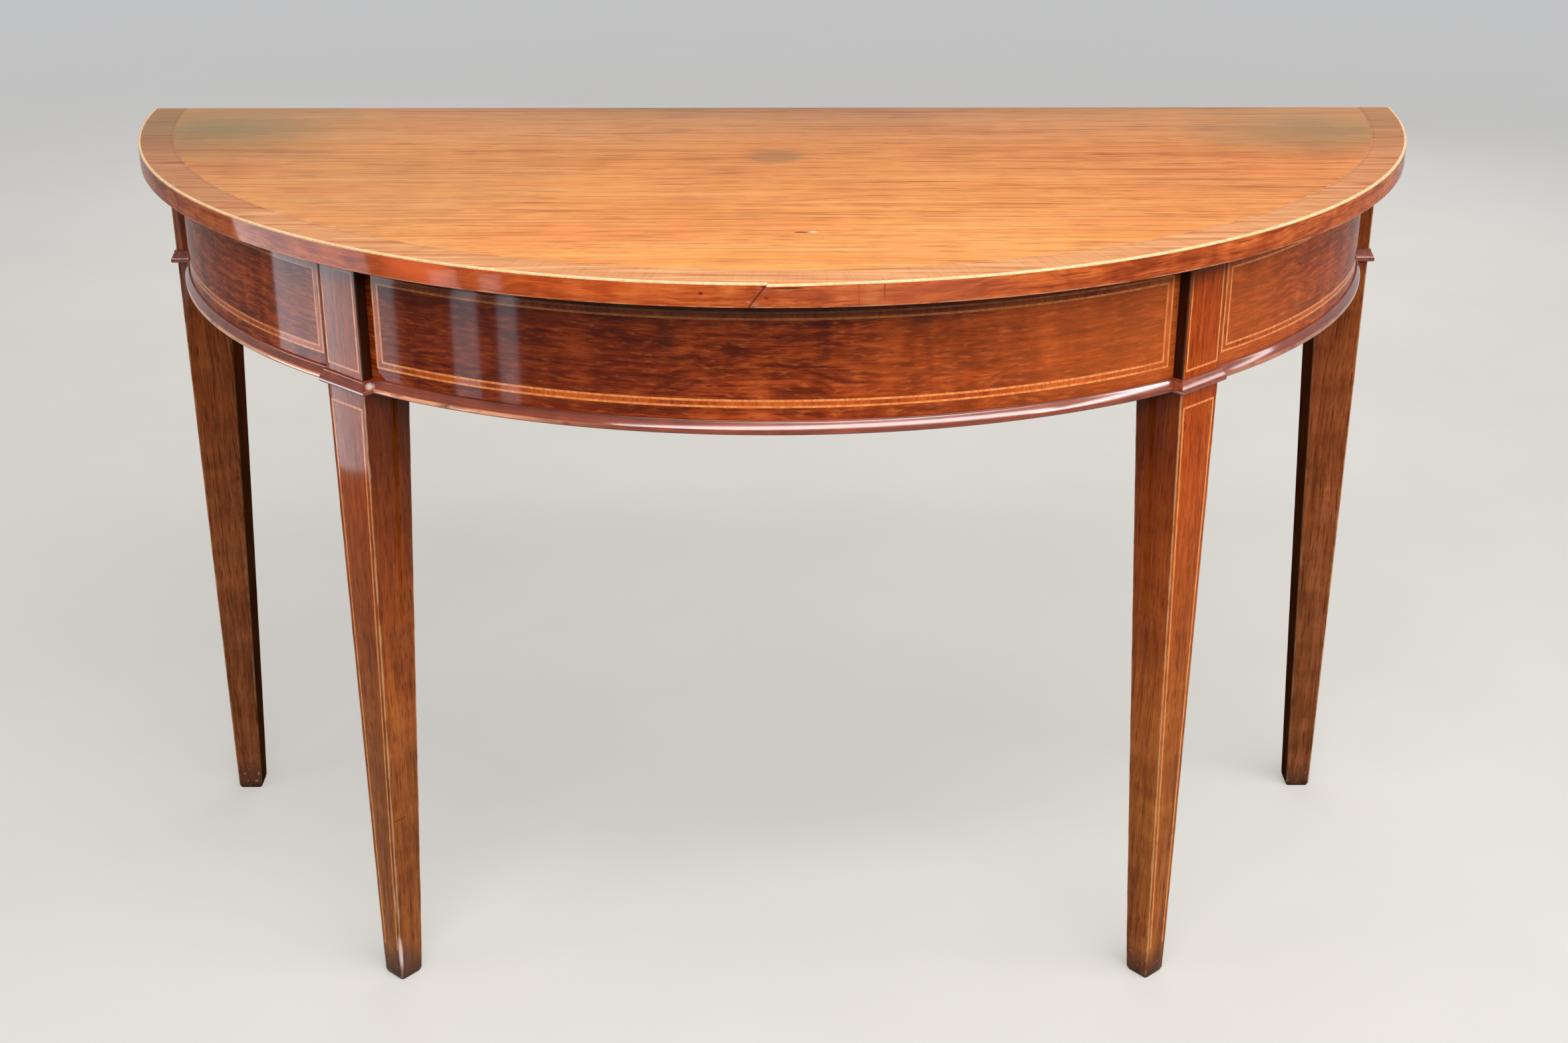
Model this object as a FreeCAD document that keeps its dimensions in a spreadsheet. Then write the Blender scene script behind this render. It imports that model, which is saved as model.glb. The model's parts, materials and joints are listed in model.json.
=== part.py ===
import FreeCAD, Part
import os

os.makedirs("parts", exist_ok=True)

# Half-round side table. X runs along the wall, the front is -Y, Z is up.
# The origin is on the floor, under the middle of the top's bounding box.
# Lengths are millimetres and angles are degrees.
SIZES = {
    # Top
    "table_height": 742,
    "top_half_width": 609,
    "front_flattening": 58,
    "top_thickness": 20,
    "veneer_thickness": 1.6,
    "crossband_width": 30,
    "edge_line_width": 2.4,
    "scarf_place": 19,
    "scarf_slope": 37,
    # Frieze
    "frieze_height": 119,
    "front_overhang": 39,
    "end_overhang": 33,
    "rail_thickness": 28,
    "inlay_depth": 1.0,
    "band_width": 3.4,
    "line_width": 1.9,
    "panel_low_margin": 10,
    "panel_high_margin": 16,
    "panel_end_margin": 6,
    # Bead
    "bead_height": 12,
    "bead_depth": 5,
    # Legs
    "leg_width": 49,
    "foot_width": 25,
    "foot_set": 4.5,
    "leg_angle": 41.5,
    "front_block_proud": 7,
    "end_block_proud": 12,
    "back_overhang": 10,
    "string_width": 1.9,
    "string_margin": 3.6,
    "block_string_low": 6,
    "block_string_high": 13,
    "leg_string_drop": 14,
    "leg_string_stop": 34,
    # Joints, brace, glue blocks and screws
    "tenon_thickness": 10,
    "tenon_length": 18,
    "tenon_root": 12,
    "tenon_shoulder": 12,
    "joint_clearance": 0.15,
    "back_rail_thickness": 24,
    "brace_width": 60,
    "brace_height": 30,
    "brace_tenon_length": 10,
    "brace_tenon_side": 10,
    "glue_block_length": 70,
    "glue_block_depth": 28,
    "glue_block_height": 28,
    "screw_radius": 2.2,
    "screw_head_radius": 4.4,
    "screw_head_height": 2.6,
    "screw_bite": 12,
    "screw_clearance": 0.1,
}

BOARDS = ("top_board_back", "top_board_middle", "top_board_front")

# Places that follow from the sizes.
PLACES = {
    "top_depth": "sizes.top_half_width - sizes.front_flattening",
    "back_edge": "top_depth / 2",
    "reach": "2 * sizes.top_half_width",
    "underside": "sizes.table_height - sizes.top_thickness",
    "veneer_bed": "sizes.table_height - sizes.veneer_thickness",
    "frieze_half_width": "sizes.top_half_width - sizes.end_overhang",
    "frieze_depth": "top_depth - sizes.front_overhang",
    "rail_bottom": "underside - sizes.frieze_height",
    "bead_top": "rail_bottom + sizes.bead_height",
    "bead_round": "0.9 * min(sizes.bead_depth; sizes.bead_height / 2)",
    "rail_inset": "sizes.veneer_thickness + sizes.rail_thickness",
    "rail_middle": "sizes.veneer_thickness + sizes.rail_thickness / 2",
    "half_leg": "sizes.leg_width / 2",
    "leg_reach": "1 / sqrt((sin(sizes.leg_angle) / frieze_half_width)^2"
                 " + (cos(sizes.leg_angle) / frieze_depth)^2) + sizes.front_block_proud",
    "front_leg_x": "leg_reach * sin(sizes.leg_angle)",
    "front_leg_y": "back_edge - leg_reach * cos(sizes.leg_angle)",
    "leg_back": "back_edge - sizes.back_overhang",
    "back_leg_x": "frieze_half_width + sizes.end_block_proud",
    "back_leg_y": "leg_back - half_leg",
    "back_rail_end": "back_leg_x - sizes.leg_width",
    "back_rail_front": "leg_back - sizes.back_rail_thickness",
    "brace_front": "back_edge - (frieze_depth - rail_inset)",
    "brace_low": "underside - sizes.brace_height",
    "glue_block_low": "underside - sizes.glue_block_height",
    "half_brace_tenon": "sizes.brace_width / 2 - sizes.brace_tenon_side",
    "board_width": f"top_depth / {len(BOARDS)}",
}

QUARTER_TURN = 90
SAME_PLACE = 1e-6
# Glue blocks: shares of the way along the middle frieze, the end frieze and the back rail.
MIDDLE_SHARES = (0.36, 0.76)
END_SHARES = (0.34, 0.7)
BACK_SHARES = (0.33, 0.74)
BRACE_SCREW_SHARES = (0.25, 0.75)

# Frames that pieces are placed in: an origin, and a turn about the vertical.
# In a leg's frame the outer face is the plane y = 0 and the leg lies at y > 0.
# A leg's proud is how far its outer face stands out from the frieze.
TABLE = {"x": "0", "y": "0", "turn": "0"}
FRONT_LEG = {"x": "places.front_leg_x", "y": "places.front_leg_y", "turn": "sizes.leg_angle",
             "proud": "sizes.front_block_proud"}
BACK_LEG = {"x": "places.back_leg_x", "y": "places.back_leg_y", "turn": str(QUARTER_TURN),
            "proud": "sizes.end_block_proud"}
FULL_HEIGHT = ("0", "sizes.table_height")

doc = FreeCAD.newDocument("demilune_table")
nodes = []


def make_sheet(name, rows):
    """A spreadsheet with one aliased cell per row."""
    sheet = doc.addObject("Spreadsheet::Sheet", name)
    for number, (alias, content) in enumerate(rows.items(), start=1):
        sheet.set(f"A{number}", alias)
        sheet.set(f"B{number}", str(content))
        sheet.setAlias(f"B{number}", alias)
    return sheet


def node(obj, label):
    """Marks an object as one piece of the table."""
    obj.Label = label
    assert obj.Label == label, label
    nodes.append(obj)
    return obj


def put(obj, frame, x="0", y="0", z="0"):
    """Places an object at a point of a frame, turned with it."""
    turn = frame["turn"]
    obj.setExpression("Placement.Base.x", f"{frame['x']} + ({x}) * cos({turn}) - ({y}) * sin({turn})")
    obj.setExpression("Placement.Base.y", f"{frame['y']} + ({x}) * sin({turn}) + ({y}) * cos({turn})")
    obj.setExpression("Placement.Base.z", z)
    obj.setExpression("Placement.Rotation.Angle", turn)
    return obj


def box(name, frame, x, y, z):
    """A box from low to high along each axis of a frame."""
    obj = doc.addObject("Part::Box", name)
    for side, (low, high) in zip(("Length", "Width", "Height"), (x, y, z)):
        obj.setExpression(side, f"({high}) - ({low})")
    return put(obj, frame, x[0], y[0], z[0])


def upright(kind, name, frame, point, radii, z):
    """A round upright, Part::Cylinder or Part::Cone, at a point of a frame."""
    obj = doc.addObject(kind, name)
    for size, radius in radii.items():
        obj.setExpression(size, radius)
    obj.setExpression("Height", f"({z[1]}) - ({z[0]})")
    return put(obj, frame, point[0], point[1], z[0])


def tapered(name, bottom_x, top_x, bottom_y, top_y, z):
    """A four-sided post between a rectangle at its foot and another at its head."""
    obj = doc.addObject("Part::Wedge", name)
    corners = {
        "Xmin": bottom_x[0], "Xmax": bottom_x[1], "X2min": top_x[0], "X2max": top_x[1],
        "Zmin": f"-({bottom_y[1]})", "Zmax": f"-({bottom_y[0]})",
        "Z2min": f"-({top_y[1]})", "Z2max": f"-({top_y[0]})",
        "Ymin": z[0], "Ymax": z[1],
    }
    for corner, expression in corners.items():
        obj.setExpression(corner, expression)
    upward = FreeCAD.Rotation(FreeCAD.Vector(1, 0, 0), QUARTER_TURN)
    obj.Placement = FreeCAD.Placement(FreeCAD.Vector(), upward)
    return obj


def column(name, half_width, depth, z):
    """An upright with an elliptical plan about the middle of the back edge."""
    outline = doc.addObject("Part::Ellipse", f"{name}_outline")
    outline.setExpression("MajorRadius", half_width)
    outline.setExpression("MinorRadius", depth)
    put(outline, TABLE, "0", "places.back_edge", z[0])
    obj = doc.addObject("Part::Extrusion", name)
    obj.Base = outline
    obj.DirMode = "Custom"
    obj.Dir = FreeCAD.Vector(0, 0, 1)
    obj.Solid = True
    obj.setExpression("LengthFwd", f"({z[1]}) - ({z[0]})")
    return obj


def top_column(name, inset, z):
    """The top's plan, drawn in by an inset."""
    return column(name, f"sizes.top_half_width - ({inset})", f"places.top_depth - ({inset})", z)


def frieze_column(name, inset, z):
    """The frieze's plan, drawn in by an inset."""
    return column(name, f"places.frieze_half_width - ({inset})", f"places.frieze_depth - ({inset})", z)


def cut(name, base, *tools):
    """Takes each tool away from the base in turn."""
    for tool in tools:
        obj = doc.addObject("Part::Cut", name)
        obj.Base = base
        obj.Tool = tool
        base = obj
    return base


def common(name, *shapes):
    """What all the shapes share."""
    obj = doc.addObject("Part::MultiCommon", name)
    obj.Shapes = list(shapes)
    return obj


def fuse(name, *shapes):
    """One solid of several shapes."""
    obj = doc.addObject("Part::MultiFuse", name)
    obj.Shapes = list(shapes)
    obj.Refine = True
    return obj


def group(name, *shapes):
    """Separate solids kept together."""
    obj = doc.addObject("Part::Compound", name)
    obj.Links = list(shapes)
    return obj


def mirror(name, source):
    """The left-hand copy of a right-hand piece."""
    obj = doc.addObject("Part::Mirroring", name)
    obj.Source = source
    obj.Normal = FreeCAD.Vector(1, 0, 0)
    return obj


def rounded(name, base, on_outside):
    """Rounds the long upper and lower edges of a bead's outer side."""
    doc.recompute()
    heights = (places.rail_bottom, places.bead_top)
    radius = places.bead_round
    edges = []
    for number, edge in enumerate(base.Shape.Edges, start=1):
        middle = edge.valueAt((edge.FirstParameter + edge.LastParameter) / 2)
        level = all(abs(vertex.Z - middle.z) < SAME_PLACE for vertex in edge.Vertexes)
        at_end = min(abs(middle.z - height) for height in heights) < SAME_PLACE
        if level and at_end and on_outside(middle):
            edges.append((number, radius, radius))
    obj = doc.addObject("Part::Fillet", name)
    obj.Base = base
    obj.Edges = edges
    return obj


def beside(leg, side, margin):
    """All the space beyond one side of a leg: side 1 is +x in its frame, side -1 is -x."""
    span = (f"places.half_leg + ({margin})", "places.reach")
    if side < 0:
        span = ("-places.reach", f"-places.half_leg - ({margin})")
    return box("side_space", leg, span, ("-places.reach", "places.reach"), FULL_HEIGHT)


def section_bounds(section, margin):
    """The spaces that limit one section of the frieze at its two ends."""
    if section == "centre":
        right = beside(FRONT_LEG, -1, margin)
        return [right, mirror("side_space_left", right)]
    return [beside(FRONT_LEG, 1, margin), beside(BACK_LEG, -1, margin)]


def panel(name, section, insets, margin, z):
    """A curved slab between two insets of the frieze's plan, stopped short of the legs by a margin."""
    outer = frieze_column(f"{name}_outer", insets[0], z)
    inner = frieze_column(f"{name}_inner", insets[1], z)
    ring = cut(f"{name}_ring", outer, inner)
    return common(name, ring, *section_bounds(section, margin))


def inlay_frame(name, section, steps):
    """An inlaid rectangle of one section, between two steps in from the panel's edge."""
    shapes = []
    for step in steps:
        low = f"places.bead_top + sizes.panel_low_margin + ({step})"
        high = f"places.underside - sizes.panel_high_margin - ({step})"
        margin = f"sizes.panel_end_margin + ({step})"
        shapes.append(panel(name, section, ("0", "sizes.inlay_depth"), margin, (low, high)))
    return cut(name, *shapes)


def tenon(name, leg, side, frame, grow="0"):
    """A rail's tenon on one side of a leg, drawn in a frame, or with grow its mortise."""
    root = "places.half_leg + sizes.tenon_root"
    tip = f"places.half_leg - sizes.tenon_length - ({grow})"
    span = (tip, root)
    if side < 0:
        span = (f"-({root})", f"-({tip})")
    half = f"(sizes.tenon_thickness / 2 + ({grow}))"
    middle = f"{leg['proud']} + places.rail_middle"
    across = (f"{middle} - {half}", f"{middle} + {half}")
    low = f"places.rail_bottom + sizes.tenon_shoulder - ({grow})"
    high = f"places.underside - sizes.tenon_shoulder + ({grow})"
    return box(name, frame, span, across, (low, high))


def back_rail_tenon(name, frame, grow="0"):
    """The back rail's tenon in a back leg's frame, or with grow its mortise."""
    middle = "places.half_leg - sizes.back_rail_thickness / 2"
    half = f"(sizes.tenon_thickness / 2 + ({grow}))"
    tip = f"sizes.leg_width - sizes.tenon_length - ({grow})"
    low = f"places.rail_bottom + sizes.tenon_shoulder - ({grow})"
    high = f"places.underside - sizes.tenon_shoulder + ({grow})"
    return box(name, frame, (f"{middle} - {half}", f"{middle} + {half}"),
               (tip, "sizes.leg_width + sizes.tenon_root"), (low, high))


def brace_tenon(name, end, grow="0"):
    """The brace's stub tenon at one end, or with grow its mortise."""
    half = f"(places.half_brace_tenon + ({grow}))"
    inward = "sizes.tenon_root"
    outward = f"sizes.brace_tenon_length + ({grow})"
    span = (f"places.brace_front - ({outward})", f"places.brace_front + {inward}")
    if end == "back":
        span = (f"places.back_rail_front - {inward}", f"places.back_rail_front + ({outward})")
    low = f"places.brace_low + sizes.brace_tenon_side / 2 - ({grow})"
    high = f"places.underside - sizes.brace_tenon_side / 2 + ({grow})"
    return box(name, TABLE, (f"-{half}", half), span, (low, high))


def glue_block_seats():
    """Right-hand glue blocks: a frame on the inside of a rail, and the seat's kind."""
    seats = []
    angles = [f"({share} * sizes.leg_angle)" for share in MIDDLE_SHARES]
    angles += [f"(sizes.leg_angle + {share} * ({QUARTER_TURN} - sizes.leg_angle))" for share in END_SHARES]
    half_width = "(places.frieze_half_width - places.rail_inset)"
    depth = "(places.frieze_depth - places.rail_inset)"
    for angle in angles:
        out = f"(1 / sqrt((sin({angle}) / {half_width})^2 + (cos({angle}) / {depth})^2))"
        frame = {"x": f"{out} * sin({angle})", "y": f"places.back_edge - {out} * cos({angle})",
                 "turn": angle}
        seats.append((frame, "curved"))
    for share in BACK_SHARES:
        frame = {"x": f"{share} * places.back_rail_end", "y": "places.back_rail_front",
                 "turn": str(2 * QUARTER_TURN)}
        seats.append((frame, "straight"))
    return seats


def screw(name, frame, point, low, grow="0"):
    """A countersunk wood screw driven upward into the top, or with grow its hole."""
    radius = f"sizes.screw_radius + ({grow})"
    head = {"Radius1": f"sizes.screw_head_radius + ({grow})", "Radius2": radius}
    shank_z = (low, f"places.underside + sizes.screw_bite + ({grow})")
    shank = upright("Part::Cylinder", f"{name}_shank", frame, point, {"Radius": radius}, shank_z)
    head_z = (low, f"({low}) + sizes.screw_head_height + ({grow})")
    return fuse(name, shank, upright("Part::Cone", f"{name}_head", frame, point, head, head_z))


def screw_places():
    """Where the top's screws go: a frame, a point in it and the height of the head."""
    found = []
    for frame, _ in glue_block_seats():
        found.append((frame, ("0", "sizes.glue_block_depth / 2"), "places.glue_block_low"))
    for share in BRACE_SCREW_SHARES:
        along = f"places.brace_front + {share} * (places.back_rail_front - places.brace_front)"
        found.append((TABLE, ("0", along), "places.brace_low"))
    return found


def make_screws(name, grow):
    """All the top's screws, or with grow their holes."""
    shapes = []
    for frame, point, low in screw_places():
        one = screw(name, frame, point, low, grow)
        shapes.append(one)
        if frame is not TABLE:
            shapes.append(mirror(f"{name}_left", one))
    return group(f"{name}_group", *shapes)


def top_layer(name, insets, z):
    """A layer of the top between two insets of its plan; one inset alone gives a full board."""
    front_half = box(f"{name}_front_half", TABLE, ("-places.reach", "places.reach"),
                     ("places.back_edge - places.reach", "places.back_edge"), FULL_HEIGHT)
    shape = top_column(f"{name}_plan", insets[0], z)
    if len(insets) > 1:
        shape = cut(f"{name}_ring", shape, top_column(f"{name}_hole", insets[1], z))
    return common(name, shape, front_half)


def make_top(screw_holes):
    """Three edge-glued boards under the veneers, the edge veneers and the pale arris line."""
    ground = top_layer("top_ground", ("sizes.veneer_thickness",), ("places.underside", "places.veneer_bed"))
    for number, label in enumerate(BOARDS):
        strip = ("places.back_edge - {} * places.board_width".format(number + 1),
                 "places.back_edge - {} * places.board_width".format(number))
        slab = box(f"{label}_strip", TABLE, ("-places.reach", "places.reach"), strip, FULL_HEIGHT)
        node(cut(label, common(f"{label}_blank", ground, slab), screw_holes), label)

    skin = ("places.veneer_bed", "sizes.table_height")
    line = "sizes.edge_line_width"
    field = f"{line} + sizes.crossband_width"
    node(top_layer("top_field_veneer", (field,), skin), "top_field_veneer")
    node(top_layer("top_crossbanding", (line, field), skin), "top_crossbanding")

    right_side = doc.addObject("Part::Box", "right_of_scarf")
    for side in ("Length", "Width", "Height"):
        right_side.setExpression(side, "2 * places.reach")
    tilt = FreeCAD.Rotation(FreeCAD.Vector(0, 1, 0), SIZES["scarf_slope"])
    right_side.Placement = FreeCAD.Placement(FreeCAD.Vector(), tilt)
    right_side.setExpression("Placement.Rotation.Angle", "sizes.scarf_slope")
    corner = {"x": "-sizes.scarf_place - places.reach * sin(sizes.scarf_slope)", "y": "-places.reach",
              "z": "places.underside - places.reach * cos(sizes.scarf_slope)"}
    for axis, expression in corner.items():
        right_side.setExpression(f"Placement.Base.{axis}", expression)
    edge = top_layer("edge_veneer", ("0", "sizes.veneer_thickness"),
                     ("places.underside", "places.veneer_bed"))
    arris = top_layer("edge_line", ("0", line), skin)
    for name, ring in (("top_edge_veneer", edge), ("top_edge_line", arris)):
        node(cut(f"{name}_left", ring, right_side), f"{name}_left")
        node(common(f"{name}_right", ring, right_side), f"{name}_right")


def make_frieze():
    """Curved rails, their veneers and the inlaid rectangles, for the middle and the two ends."""
    whole = ("places.rail_bottom", "places.underside")
    shown = ("places.bead_top", "places.underside")
    line = "sizes.line_width"
    band = f"{line} + sizes.band_width"
    last = f"{band} + {line}"
    for section in ("centre", "end"):
        insets = ("sizes.veneer_thickness", "places.rail_inset")
        core = panel(f"{section}_core", section, insets, "0", whole)
        if section == "centre":
            right = tenon("centre_tenon", FRONT_LEG, -1, FRONT_LEG)
            mortise = brace_tenon("brace_mortise_front", "front", "sizes.joint_clearance")
            core = fuse("centre_rail", core, right, mirror("centre_tenon_left", right))
            core = cut("centre_rail", core, mortise)
        else:
            core = fuse("end_rail", core, tenon("end_tenon", FRONT_LEG, 1, FRONT_LEG),
                        tenon("end_tenon", BACK_LEG, -1, BACK_LEG))
        band_ring = inlay_frame(f"{section}_band", section, (line, band))
        lines = group(f"{section}_lines", inlay_frame(f"{section}_outer_line", section, ("0", line)),
                      inlay_frame(f"{section}_inner_line", section, (band, last)))
        groove = inlay_frame(f"{section}_groove", section, ("0", last))
        skin = panel(f"{section}_skin", section, ("0", "sizes.veneer_thickness"), "0", shown)
        skin = cut(f"{section}_veneer", skin, groove)
        pieces = {"frieze_rail": core, "frieze_veneer": skin, "frieze_band": band_ring,
                  "frieze_lines": lines}
        for label, shape in pieces.items():
            if section == "centre":
                node(shape, f"{label}_centre")
            else:
                node(shape, f"{label}_right")
                node(mirror(f"{label}_left", shape), f"{label}_left")


def block_bead_span(leg):
    """How far the bead round a leg block reaches across it; a back leg's back face is left bare."""
    outside = "(places.half_leg + sizes.bead_depth)"
    if leg is BACK_LEG:
        return (f"-{outside}", "places.half_leg")
    return (f"-{outside}", outside)


def make_beads():
    """The bead along the foot of the frieze, and where it breaks forward round each leg block."""
    z = ("places.rail_bottom", "places.bead_top")
    core_face = frieze_column("core_face", "sizes.veneer_thickness", z)
    deep = ("-sizes.bead_depth", "places.half_leg")
    blocks = []
    for name, leg in (("front", FRONT_LEG), ("back", BACK_LEG)):
        span = block_bead_span(leg)
        solid = box(f"{name}_bead_blank", TABLE, span, deep, z)
        leg_block = box(f"{name}_bead_core", TABLE, ("-places.half_leg", "places.half_leg"),
                        ("0", "sizes.leg_width"), z)
        doc.recompute()
        far = places.half_leg + sizes.bead_depth
        front = -sizes.bead_depth

        def outside(point):
            return min(abs(abs(point.x) - far), abs(point.y - front)) < SAME_PLACE

        strip = rounded(f"{name}_bead_round", cut(f"{name}_bead_strip", solid, leg_block), outside)
        placed = group(f"{name}_bead_placed", strip)
        put(placed, leg)
        right = cut(f"bead_{name}_block", placed, core_face)
        node(right, f"bead_{name}_right_block")
        node(mirror(f"bead_{name}_left", right), f"bead_{name}_left_block")
        blocks.append(box(f"{name}_bead_space", leg, span, deep, z))

    def on_bead_face(point):
        wide = places.frieze_half_width + sizes.bead_depth
        deep_axis = places.frieze_depth + sizes.bead_depth
        measure = (point.x / wide) ** 2 + ((point.y - places.back_edge) / deep_axis) ** 2
        return abs(measure - 1) < SAME_PLACE

    insets = ("-sizes.bead_depth", "sizes.veneer_thickness")
    for section in ("centre", "end"):
        strip = panel(f"{section}_bead", section, insets, "0", z)
        run = rounded(f"{section}_bead_round", strip, on_bead_face)
        if section == "centre":
            mirrored = mirror("front_bead_space_left", blocks[0])
            node(cut("centre_bead_run", run, blocks[0], mirrored), "bead_centre")
        else:
            right = node(cut("end_bead_run", run, *blocks), "bead_right")
            node(mirror("left_bead_run", right), "bead_left")


def face_edge(leg, side, z):
    """Where an edge of a leg's outer face lies at a height below the rails.

    The front edge of a back leg stays upright.
    The foot of a front leg stands a little towards the back of the table.
    """
    growth = f"(sizes.leg_width - sizes.foot_width) * ({z}) / places.rail_bottom"
    if leg is BACK_LEG:
        return "-places.half_leg" if side < 0 else f"-places.half_leg + sizes.foot_width + {growth}"
    middle = f"sizes.foot_set * (1 - ({z}) / places.rail_bottom)"
    half = f"(sizes.foot_width + {growth}) / 2"
    return f"{middle} - {half}" if side < 0 else f"{middle} + {half}"


def leg_strings(name, leg):
    """The pale lines let into a leg's outer face: a rectangle on the block and an arch down the taper."""
    depth = ("0", "sizes.inlay_depth")
    frames = []
    for step in ("0", "sizes.string_width"):
        half = f"(places.half_leg - sizes.string_margin - ({step}))"
        z = (f"places.bead_top + sizes.block_string_low + ({step})",
             f"places.underside - sizes.block_string_high - ({step})")
        frames.append(box(f"{name}_block_line", TABLE, (f"-{half}", half), depth, z))
    rectangle = cut(f"{name}_block_lines", *frames)
    slabs = []
    for step, low in (("0", "sizes.leg_string_stop"), ("sizes.string_width", "0")):
        high = f"places.rail_bottom - sizes.leg_string_drop - ({step})"
        inward = f"sizes.string_margin + ({step})"
        spans = []
        for z in (low, high):
            spans.append((f"{face_edge(leg, -1, z)} + {inward}", f"{face_edge(leg, 1, z)} - ({inward})"))
        slabs.append(tapered(f"{name}_leg_line", spans[0], spans[1], depth, depth, (low, high)))
    return rectangle, cut(f"{name}_leg_lines", *slabs)


def make_leg(name, leg, mortises):
    """A leg in one length: the square block at the rails, and below it the taper to the foot."""
    half = "places.half_leg"
    block = box(f"{name}_block", TABLE, (f"-{half}", half), ("0", "sizes.leg_width"),
                ("places.rail_bottom", "places.underside"))
    foot = (face_edge(leg, -1, "0"), face_edge(leg, 1, "0"))
    shaft = tapered(f"{name}_taper", foot, (f"-{half}", half), ("0", "sizes.foot_width"),
                    ("0", "sizes.leg_width"), ("0", "places.rail_bottom"))
    strings = leg_strings(name, leg)
    solid = cut(name, fuse(f"{name}_blank", block, shaft), *mortises, *strings)
    put(solid, leg)
    inlay = put(group(f"{name}_strings", *strings), leg)
    for shape, label in ((solid, f"leg_{name}"), (inlay, f"stringing_{name}")):
        node(shape, f"{label}_right")
        node(mirror(f"{label}_left", shape), f"{label}_left")


def make_legs():
    """Two front legs that face outward along the curve, and two back legs square to the wall."""
    gap = "sizes.joint_clearance"
    front_mortises = [tenon("front_mortise", FRONT_LEG, side, TABLE, gap) for side in (-1, 1)]
    back_mortises = [tenon("back_mortise", BACK_LEG, -1, TABLE, gap),
                     back_rail_tenon("rail_mortise", TABLE, gap)]
    make_leg("front", FRONT_LEG, front_mortises)
    make_leg("back", BACK_LEG, back_mortises)


def make_back_rail():
    """The straight rail between the back legs."""
    plank = box("back_rail_plank", TABLE, ("-places.back_rail_end", "places.back_rail_end"),
                ("places.back_rail_front", "places.leg_back"), ("places.rail_bottom", "places.underside"))
    right = back_rail_tenon("back_rail_tenon", BACK_LEG)
    solid = fuse("back_rail_blank", plank, right, mirror("back_rail_tenon_left", right))
    mortise = brace_tenon("brace_mortise_back", "back", "sizes.joint_clearance")
    node(cut("back_rail", solid, mortise), "back_rail")


def make_brace(screw_holes):
    """The brace from the middle of the curved rail to the back rail, coped to the curve."""
    inside = frieze_column("rail_inside", "places.rail_inset", ("places.brace_low", "places.underside"))
    bar = box("brace_bar", TABLE, ("-sizes.brace_width / 2", "sizes.brace_width / 2"),
              ("places.back_edge - places.frieze_depth", "places.back_rail_front"),
              ("places.brace_low", "places.underside"))
    solid = fuse("brace_blank", common("brace_coped", bar, inside), brace_tenon("brace_tenon", "front"),
                 brace_tenon("brace_tenon", "back"))
    node(cut("middle_brace", solid, screw_holes), "middle_brace")


def make_glue_blocks(screw_holes):
    """Softwood blocks rubbed into the corners between the rails and the top."""
    inside = frieze_column("block_inside", "places.rail_inset",
                           ("places.glue_block_low", "places.underside"))
    half = "sizes.glue_block_length / 2"
    found = {"curved": [], "straight": []}
    for frame, kind in glue_block_seats():
        low_y = "-sizes.glue_block_depth" if kind == "curved" else "0"
        block = box("glue_block", frame, (f"-{half}", half), (low_y, "sizes.glue_block_depth"),
                    ("places.glue_block_low", "places.underside"))
        if kind == "curved":
            block = common("glue_block_coped", block, inside)
        block = cut("glue_block_drilled", block, screw_holes)
        found[kind] += [block, mirror("glue_block_left", block)]
    node(group("glue_blocks_curved", *found["curved"]), "glue_blocks_frieze")
    node(group("glue_blocks_straight", *found["straight"]), "glue_blocks_back")


def check_and_export():
    """Stops on any failed object, then writes one file per piece."""
    doc.recompute()
    for obj in doc.Objects:
        assert "Invalid" not in obj.State and "Error" not in obj.State, obj.Name
    for piece in nodes:
        assert not piece.Shape.isNull() and piece.Shape.isValid() and piece.Shape.Solids, piece.Label
        piece.Shape.exportStep(f"parts/{piece.Label}.step")
        print(piece.Label, len(piece.Shape.Solids), "solids", round(piece.Shape.Volume), "mm3")


sizes = make_sheet("sizes", SIZES)
places = make_sheet("places", {alias: f"={formula}" for alias, formula in PLACES.items()})
doc.recompute()
holes = make_screws("screw_hole", "sizes.screw_clearance")
node(make_screws("top_screw", "0"), "top_screws")
make_top(holes)
make_frieze()
make_beads()
make_legs()
make_back_rail()
make_brace(holes)
make_glue_blocks(holes)
check_and_export()
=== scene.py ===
"""Half-round mahogany side table: finishes and fine shapes over the frame, with floor, light and camera."""
import json
import math

import bmesh
import bpy
from mathutils import Matrix, Vector


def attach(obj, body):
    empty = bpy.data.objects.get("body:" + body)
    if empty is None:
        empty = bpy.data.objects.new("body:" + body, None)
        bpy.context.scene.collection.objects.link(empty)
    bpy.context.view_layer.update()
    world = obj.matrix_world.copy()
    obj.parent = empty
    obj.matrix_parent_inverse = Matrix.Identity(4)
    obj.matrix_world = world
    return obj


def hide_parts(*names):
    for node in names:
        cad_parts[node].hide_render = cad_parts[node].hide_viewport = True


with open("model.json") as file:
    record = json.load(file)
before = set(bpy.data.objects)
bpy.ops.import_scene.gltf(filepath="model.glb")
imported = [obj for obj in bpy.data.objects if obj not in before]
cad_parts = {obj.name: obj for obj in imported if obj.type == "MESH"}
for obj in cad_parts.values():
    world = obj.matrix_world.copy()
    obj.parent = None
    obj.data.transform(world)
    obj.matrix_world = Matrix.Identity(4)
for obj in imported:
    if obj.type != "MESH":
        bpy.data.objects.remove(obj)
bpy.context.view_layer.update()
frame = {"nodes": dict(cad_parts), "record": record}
nodes = frame["nodes"]

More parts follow.
